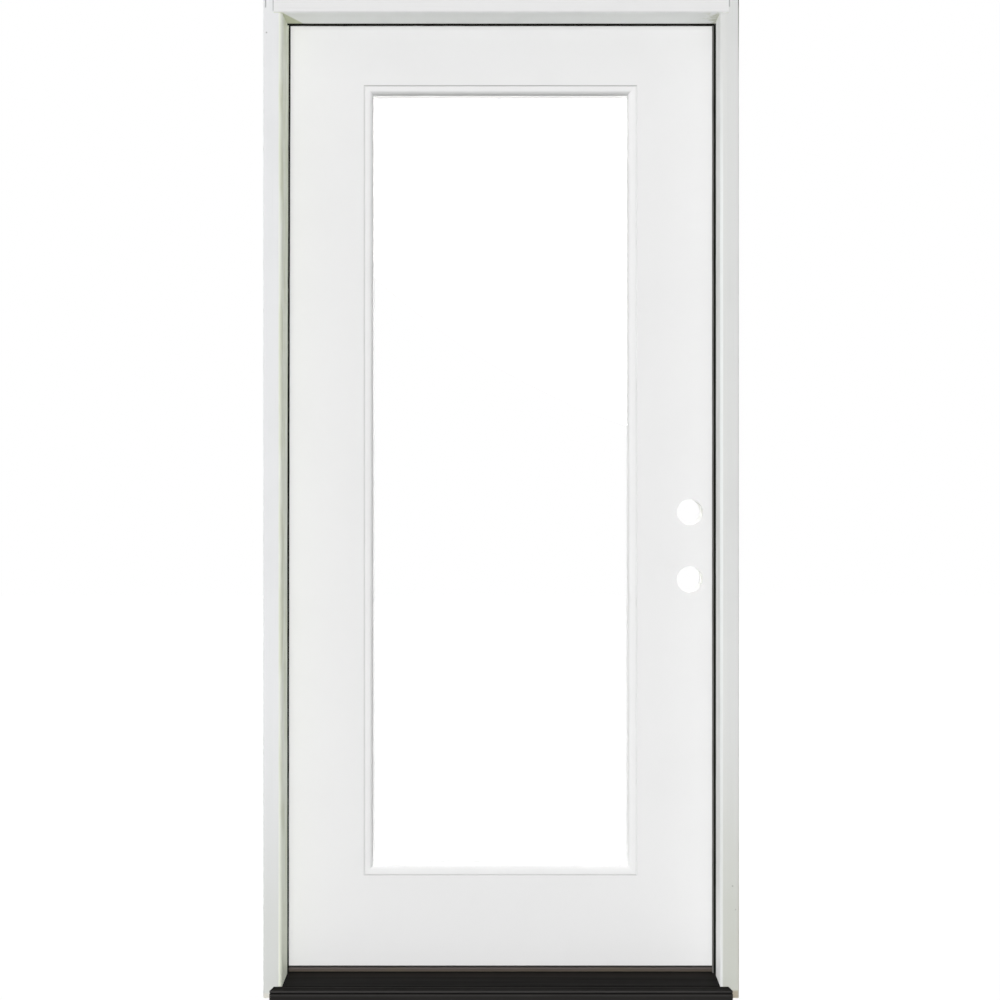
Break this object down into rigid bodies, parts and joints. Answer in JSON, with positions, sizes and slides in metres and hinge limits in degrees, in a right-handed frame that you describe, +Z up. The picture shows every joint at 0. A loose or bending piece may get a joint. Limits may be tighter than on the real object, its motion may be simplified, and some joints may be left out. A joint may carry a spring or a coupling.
{
  "type": "prehung full-lite fibreglass entry door",
  "caption": "Inswing entry door hung in its jamb frame and sill, with one tall clear lite and bores for a lockset and deadbolt.",
  "frame": {"origin": "middle of the sill's flat underside, below the stops' doorway centre and halfway through the jamb depth", "axes": "+X across the doorway towards the lock side, +Y from outdoors to indoors, +Z up"},
  "size_m": [0.962, 0.1501, 2.0298],
  "materials": {
    "frame_primer": "wood with factory white primer, satin, faint brush and roller texture",
    "weatherstrip": "matt dark skin over foam",
    "seal_foam": "matt closed-cell foam",
    "sill_bronze": "dark bronze anodised, satin",
    "sill_composite": "tan composite, sawn ends",
    "cap_brown": "brown satin vinyl",
    "slab_skin": "smooth white fibreglass, satin",
    "slab_edge": "white coated stile edge",
    "slab_rail": "pale composite rail",
    "block_composite": "white cellular composite lock block",
    "core_foam": "cream polyurethane foam",
    "clear_glass": "clear float glass",
    "spacer_metal": "mill aluminium spacer bar",
    "lite_trim": "moulded white trim, satin",
    "sweep_vinyl": "matt dark vinyl fins",
    "hinge_steel": "satin nickel plated steel"
  },
  "bodies": {
    "frame": {"hinge_jamb": "frame_primer", "latch_jamb": "frame_primer", "head_jamb": "frame_primer", "hinge_stop": "frame_primer", "latch_stop": "frame_primer", "head_stop": "frame_primer", "hinge_side_weatherstrip": "weatherstrip", "latch_side_weatherstrip": "weatherstrip", "head_weatherstrip": "weatherstrip", "hinge_side_corner_pad": "seal_foam", "latch_side_corner_pad": "seal_foam", "sill_deck": "sill_bronze", "sill_base": "sill_composite", "sill_cap": "cap_brown", "lower_hinge_frame_leaf": "hinge_steel", "middle_hinge_frame_leaf": "hinge_steel", "upper_hinge_frame_leaf": "hinge_steel", "lower_hinge_pin": "hinge_steel", "middle_hinge_pin": "hinge_steel", "upper_hinge_pin": "hinge_steel"},
    "door": {"exterior_skin": "slab_skin", "interior_skin": "slab_skin", "hinge_stile": "slab_edge", "latch_stile": "slab_edge", "top_rail": "slab_rail", "bottom_rail": "slab_rail", "lock_block": "block_composite", "foam_core_hinge_side": "core_foam", "foam_core_latch_side": "core_foam", "foam_core_bottom": "core_foam", "foam_core_top": "core_foam", "exterior_glass_pane": "clear_glass", "interior_glass_pane": "clear_glass", "glass_spacer": "spacer_metal", "exterior_lite_trim": "lite_trim", "interior_lite_trim": "lite_trim", "door_bottom_sweep": "sweep_vinyl", "lower_hinge_door_leaf": "hinge_steel", "middle_hinge_door_leaf": "hinge_steel", "upper_hinge_door_leaf": "hinge_steel"}
  },
  "joints": [
    {"name": "door_swing", "type": "hinge", "parent": "frame", "child": "door", "pos_m": [-0.4547, 0.06435, 1], "axis": [0, 0, 1], "range_deg": [0, 170]}
  ]
}
